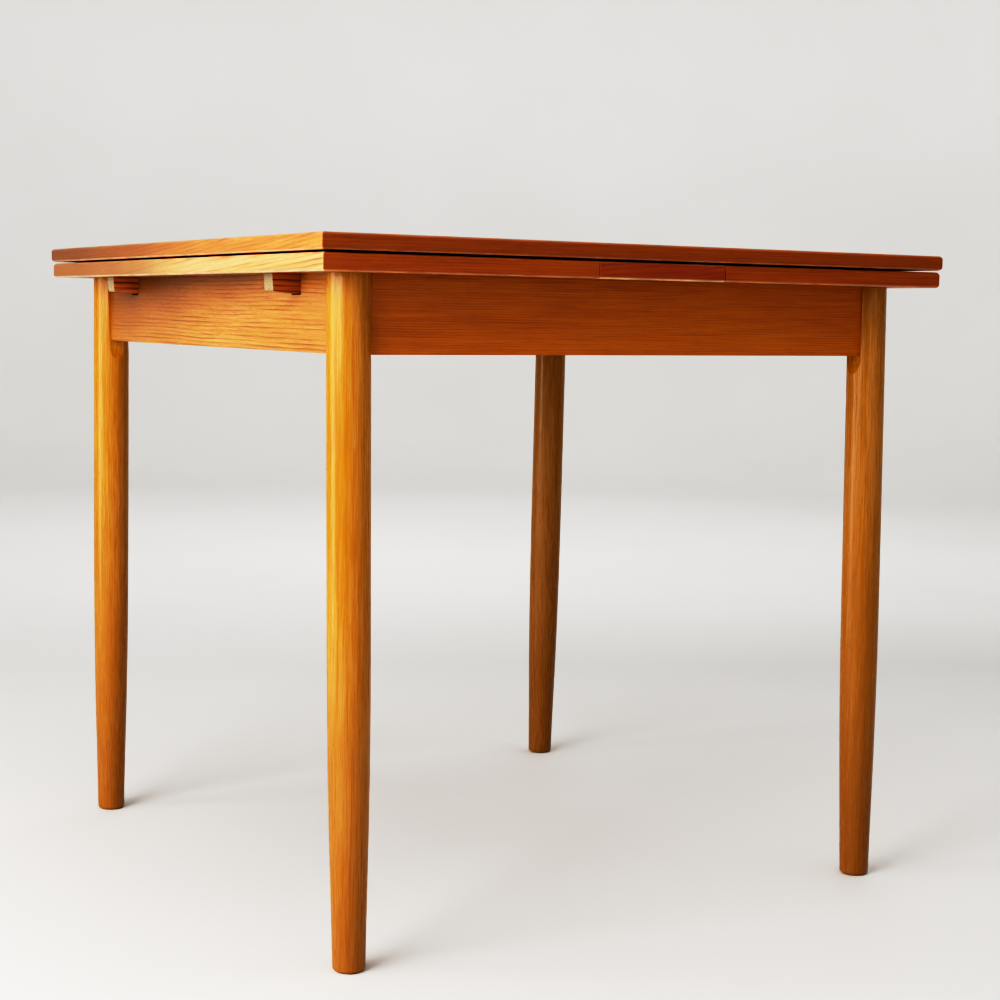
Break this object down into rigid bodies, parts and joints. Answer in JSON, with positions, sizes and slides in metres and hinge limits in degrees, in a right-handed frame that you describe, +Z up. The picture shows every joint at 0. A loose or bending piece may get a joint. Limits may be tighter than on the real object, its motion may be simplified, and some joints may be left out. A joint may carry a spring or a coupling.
{
  "type": "draw-leaf dining table",
  "caption": "Square dining table whose two leaves pull out on tapered bearers from under a loose main top, on round tapered legs.",
  "frame": {"origin": "on the floor under the middle of the table top", "axes": "+X along the way the right leaf pulls out, +Y towards the back, +Z up"},
  "size_m": [0.79, 0.79, 0.73],
  "materials": {
    "veneer": "oiled teak veneer, satin",
    "teak_edge": "oiled solid teak edging, satin",
    "apron_teak": "oiled solid teak, satin",
    "leg_wood": "turned golden hardwood, satin",
    "bearer_wood": "planed hardwood, oiled sides, pale end grain",
    "beech": "plain planed beech",
    "steel": "plain wood screws",
    "felt": "thin pressed felt"
  },
  "bodies": {
    "frame": {"apron_back": "apron_teak", "apron_dowels": "beech", "apron_front": "apron_teak", "apron_left_end": "apron_teak", "apron_right_end": "apron_teak", "centre_board_lipping_back": "teak_edge", "centre_board_lipping_front": "teak_edge", "centre_board_panel": "veneer", "centre_board_screws": "steel", "corner_block_left_back": "beech", "corner_block_left_front": "beech", "corner_block_right_back": "beech", "corner_block_right_front": "beech", "corner_block_screws": "steel", "cross_rail_left": "beech", "cross_rail_right": "beech", "leg_left_back": "leg_wood", "leg_left_front": "leg_wood", "leg_right_back": "leg_wood", "leg_right_front": "leg_wood"},
    "left_leaf": {"left_leaf_bearer_back": "bearer_wood", "left_leaf_bearer_front": "bearer_wood", "left_leaf_bearer_screws": "steel", "left_leaf_lipping_back": "teak_edge", "left_leaf_lipping_front": "teak_edge", "left_leaf_lipping_left": "teak_edge", "left_leaf_panel": "veneer", "left_leaf_stop_pegs": "beech"},
    "right_leaf": {"right_leaf_bearer_back": "bearer_wood", "right_leaf_bearer_front": "bearer_wood", "right_leaf_bearer_screws": "steel", "right_leaf_lipping_back": "teak_edge", "right_leaf_lipping_front": "teak_edge", "right_leaf_lipping_right": "teak_edge", "right_leaf_panel": "veneer", "right_leaf_stop_pegs": "beech"},
    "felt": {"felt_strip_left": "felt"},
    "top": {"top_guide_pegs": "beech", "top_lipping_back": "teak_edge", "top_lipping_front": "teak_edge", "top_lipping_left": "teak_edge", "top_lipping_right": "teak_edge", "top_panel": "veneer", "felt_strip_right": "felt"}
  },
  "joints": [
    {"name": "left_leaf_slide", "type": "slide", "parent": "frame", "child": "left_leaf", "axis": [-0.9983, 0, 0.0587], "range_m": [0, 0.31504]},
    {"name": "right_leaf_slide", "type": "slide", "parent": "frame", "child": "right_leaf", "axis": [0.9983, 0, 0.0587], "range_m": [0, 0.31504]},
    {"name": "top_tilt_left", "type": "hinge", "parent": "frame", "child": "felt", "pos_m": [0.352, 0, 0.7116], "axis": [0, 1, 0], "range_deg": [0, 1.55]},
    {"name": "top_tilt_right", "type": "hinge", "parent": "felt", "child": "top", "pos_m": [-0.352, 0, 0.7116], "axis": [0, -1, 0], "range_deg": [0, 1.55]}
  ],
  "couplings": [
    {"joint": "top_tilt_left", "follows": "left_leaf_slide", "rad_per_m": 0.085852},
    {"joint": "top_tilt_right", "follows": "right_leaf_slide", "rad_per_m": 0.085852}
  ]
}
